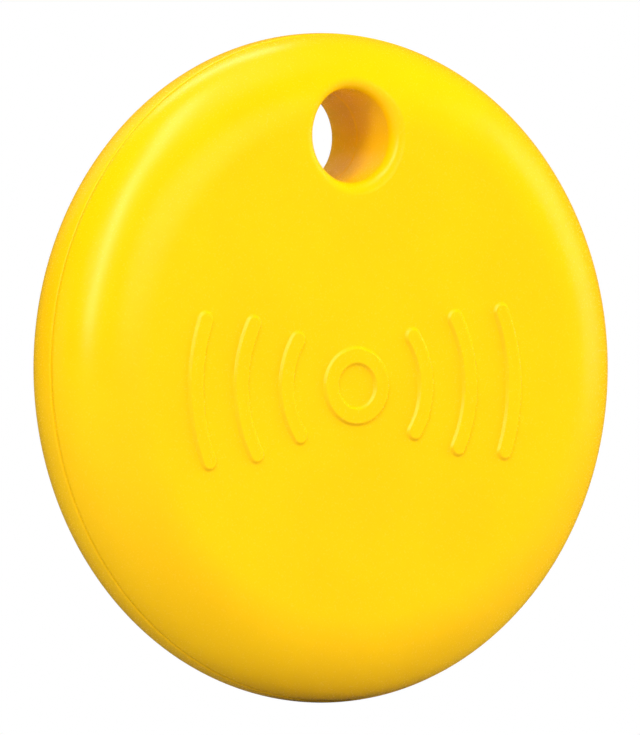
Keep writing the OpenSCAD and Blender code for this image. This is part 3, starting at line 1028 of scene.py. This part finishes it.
def brass_sheet():
    return plain("brass_sheet", (0.75, 0.5, 0.18), (0.85, 0.6, 0.26), 0.3, 600, 0.0015, SATIN, (1, 1, 10))


def silver_paint():
    return plain("silver_paint", (0.62, 0.61, 0.58), (0.74, 0.73, 0.7), 0.42, 3500, 0.003, 0.85)


def piezo_ceramic():
    return plain("piezo_ceramic", (0.62, 0.57, 0.45), (0.7, 0.66, 0.55), 0.6, 2500, 0.002)


def gasket_resin():
    return plain("cell_gasket_resin", (0.02, 0.02, 0.022), (0.035, 0.035, 0.037), 0.4, 2000, 0.002)


def pressed_powder():
    return plain("pressed_powder", (0.012, 0.012, 0.012), (0.035, 0.034, 0.033), 0.8, 7000, 0.012)


def separator_paper():
    return plain("separator_paper", (0.72, 0.71, 0.67), (0.8, 0.79, 0.76), 0.75, 3500, 0.006)


def lithium_foil():
    return plain("lithium_foil", (0.5, 0.5, 0.5), (0.62, 0.62, 0.61), 0.45, 1500, 0.006, 0.9)


def clear_adhesive():
    return plain("adhesive_ring", (0.6, 0.58, 0.5), (0.7, 0.68, 0.6), 0.35, 1500, 0.004)


def solder_mask():
    """Green lacquer over laminate, with the faint weave of the glass cloth."""
    m = Nodes("solder_mask")
    m.set(Specular_IOR_Level=0.5)
    weave = m.noise(3000, 2, 0.5, (1, 1, 0.2))
    m.colour(m.noise(500, 3), (0.003, 0.055, 0.022), (0.006, 0.075, 0.03))
    m.roughness(m.noise(2500), 0.22, 0.34)
    m.bump(weave, 0.004)
    return m.material


def masked_copper():
    return plain("masked_copper", (0.015, 0.16, 0.055), (0.025, 0.2, 0.07), 0.27, 1500, 0.001)


def white_ink():
    return plain("white_ink", (0.72, 0.72, 0.7), (0.8, 0.8, 0.78), 0.5, 4000, 0.001)


def grey_resin():
    return plain("grey_resin", (0.12, 0.12, 0.12), (0.17, 0.17, 0.17), 0.6, 6000, 0.003)


# Rounding of the edges of CAD nodes that stay, in mm
SOFT_EDGES = {
    "radio_chip": 0.05,
    "buzzer_driver": 0.05,
    "boost_inductor": 0.12,
    "inductor_core": 0.08,
    "main_crystal": 0.12,
    "clock_crystal": 0.15,
    "capacitors": 0.04,
    "capacitor_ends": 0.04,
    "resistors": 0.03,
    "resistor_ends": 0.03,
    "antenna": 0.03,
    "positive_contact": 0.03,
    "cell_frame": 0.05,
    "circuit_board": 0.03,
    "switch_base": 0.04,
}


def paint(piece, material):
    """Puts one material on every slot of a piece."""
    if not piece.material_slots:
        piece.data.materials.append(material)
    for each in piece.material_slots:
        each.material = material


def finish_cad_nodes():
    """Finishes for the CAD nodes that stay as they are."""
    finishes = {
        black_rubber: ["rim_seal", "hole_seal"],
        pale_silicone: ["press_pad"],
        black_resin: ["switch_base", "radio_chip", "buzzer_driver"],
        white_nylon: ["switch_stem", "cell_frame"],
        sheet_steel: ["switch_cover", "main_crystal", "clock_crystal"],
        solder_mask: ["circuit_board"],
        dark_ferrite: ["boost_inductor", "inductor_core"],
        tan_ceramic: ["capacitors"],
        resistor_glaze: ["resistors"],
        tinned_end: ["capacitor_ends", "resistor_ends"],
        gold_plate: ["antenna", "negative_contact", "positive_contact"],
        can_steel: ["cell_can", "cell_cap"],
        gasket_resin: ["cell_gasket"],
        pressed_powder: ["cell_cathode"],
        separator_paper: ["cell_separator"],
        lithium_foil: ["cell_anode"],
        clear_adhesive: ["buzzer_adhesive"],
        brass_sheet: ["buzzer_plate"],
        piezo_ceramic: ["buzzer_ceramic"],
        silver_paint: ["buzzer_electrode"],
    }
    for make, names in finishes.items():
        material = make()
        for name in names:
            paint(nodes[name], material)
    for name, width in SOFT_EDGES.items():
        bevel = nodes[name].modifiers.new("soft_edges", "BEVEL")
        bevel.width, bevel.segments, bevel.limit_method = width * MM, 3, "ANGLE"


# ---------------------------------------------------------------- stage, light and camera
LIGHT_DISTANCE = 0.5


def camera():
    """A long lens to the left of the front face, almost level with the tag."""
    middle = Vector((0, 0, -HOLE_Y * MM))
    away_m, side, lift, roll = 0.668, math.radians(33.844), math.radians(0.789), math.radians(-1.249)
    back = Vector((-math.sin(side) * math.cos(lift), -math.cos(side) * math.cos(lift), math.sin(lift)))
    right = (-back).cross(Vector((0, 0, 1))).normalized()
    up = right.cross(-back)
    across = right * math.cos(roll) + up * math.sin(roll)
    upright = up * math.cos(roll) - right * math.sin(roll)
    data = bpy.data.cameras.new("camera")
    data.lens, data.sensor_width = 564.7, 36
    data.clip_start, data.clip_end = 0.01, 20
    made = bpy.data.objects.new("camera", data)
    bpy.context.scene.collection.objects.link(made)
    turned = Matrix((across, upright, back)).transposed().to_4x4()
    aim = middle - across * 0.34 * MM + upright * 0.02 * MM
    made.matrix_world = Matrix.Translation(aim + back * away_m) @ turned
    bpy.context.scene.camera = made


def seen_white(tree, shader, sky=False):
    """White to the camera, and the given shader to everything else."""
    white = tree.nodes.new("ShaderNodeBackground" if sky else "ShaderNodeEmission")
    white.inputs["Color"].default_value = (1, 1, 1, 1)
    white.inputs["Strength"].default_value = 1
    path = tree.nodes.new("ShaderNodeLightPath")
    mix = tree.nodes.new("ShaderNodeMixShader")
    tree.links.new(path.outputs["Is Camera Ray"], mix.inputs[0])
    tree.links.new(shader.outputs[0], mix.inputs[1])
    tree.links.new(white.outputs[0], mix.inputs[2])
    return mix.outputs[0]


def world(fill):
    """Weak even light from all round, behind a white backdrop."""
    made = bpy.data.worlds.new("studio")
    bpy.context.scene.world = made
    made.use_nodes = True
    tree = made.node_tree
    ground = tree.nodes["Background"]
    ground.inputs["Color"].default_value = (1.0, 0.98, 0.95, 1)
    ground.inputs["Strength"].default_value = fill
    tree.links.new(seen_white(tree, ground, True), tree.nodes["World Output"].inputs["Surface"])


def floor():
    """Floor under the rim. It throws light back as a pale grey one does, but the camera sees it white."""
    half = 1.5
    level = -(HOLE_Y + CASE_R) * MM
    mesh = bpy.data.meshes.new("floor")
    corners = [(-half, -half, level), (half, -half, level), (half, half, level), (-half, half, level)]
    mesh.from_pydata(corners, [], [(0, 1, 2, 3)])
    made = bpy.data.objects.new("floor", mesh)
    bpy.context.scene.collection.objects.link(made)
    material = bpy.data.materials.new("white_sweep")
    material.use_nodes = True
    tree = material.node_tree
    tree.nodes.remove(tree.nodes["Principled BSDF"])
    dull = tree.nodes.new("ShaderNodeBsdfDiffuse")
    dull.inputs["Color"].default_value = (0.46, 0.46, 0.46, 1)
    tree.links.new(seen_white(tree, dull), tree.nodes["Material Output"].inputs["Surface"])
    mesh.materials.append(material)
    made.visible_glossy = False


def softbox(name, azimuth, elevation, width, height, power, mirrored=False):
    """A soft rectangular light aimed at the middle of the case. Azimuth 0 is straight in front.
    Only a mirrored one shows in gloss."""
    a, e = math.radians(azimuth), math.radians(elevation)
    way = Vector((math.sin(a) * math.cos(e), -math.cos(a) * math.cos(e), math.sin(e)))
    data = bpy.data.lights.new(name, "AREA")
    data.shape = "RECTANGLE"
    data.size, data.size_y, data.energy = width, height, power
    made = bpy.data.objects.new(name, data)
    bpy.context.scene.collection.objects.link(made)
    made.location = Vector((0, 0, -HOLE_Y * MM)) + way * LIGHT_DISTANCE
    made.rotation_mode = "QUATERNION"
    made.rotation_quaternion = way.to_track_quat("Z", "Y")
    made.visible_camera = False
    made.visible_glossy = mirrored


def lights():
    """Strips at the left and overhead behind show as highlights. The rest only fills."""
    softbox("strip_low", -46, 15, 0.09, 0.11, 0.18, mirrored=True)
    softbox("strip_middle", -43, 36, 0.09, 0.25, 0.45, mirrored=True)
    softbox("strip_top", -34, 64, 0.11, 0.25, 0.36, mirrored=True)
    softbox("back_strip", 165, 70, 0.3, 0.08, 0.35, mirrored=True)
    softbox("left_key", -60, 30, 0.12, 0.12, 1.1)
    softbox("front_fill", 10, 16, 0.3, 0.2, 1.08)
    softbox("top_fill", 10, 72, 0.3, 0.3, 0.75)
    softbox("right_fill", 76, 8, 0.25, 0.3, 2.7)
    softbox("back_left_fill", -102, 3, 0.3, 0.4, 0.9)
    softbox("back_fill", 180, 40, 0.4, 0.3, 1.4)


yellow = moulded_yellow()
paint(front_shell(), yellow)
paint(rear_shell(), yellow)
finish_cad_nodes()
inner_details()
camera()
world(0.08)
floor()
lights()
bpy.context.scene.view_settings.view_transform = "Standard"
bpy.context.scene.view_settings.look = "None"
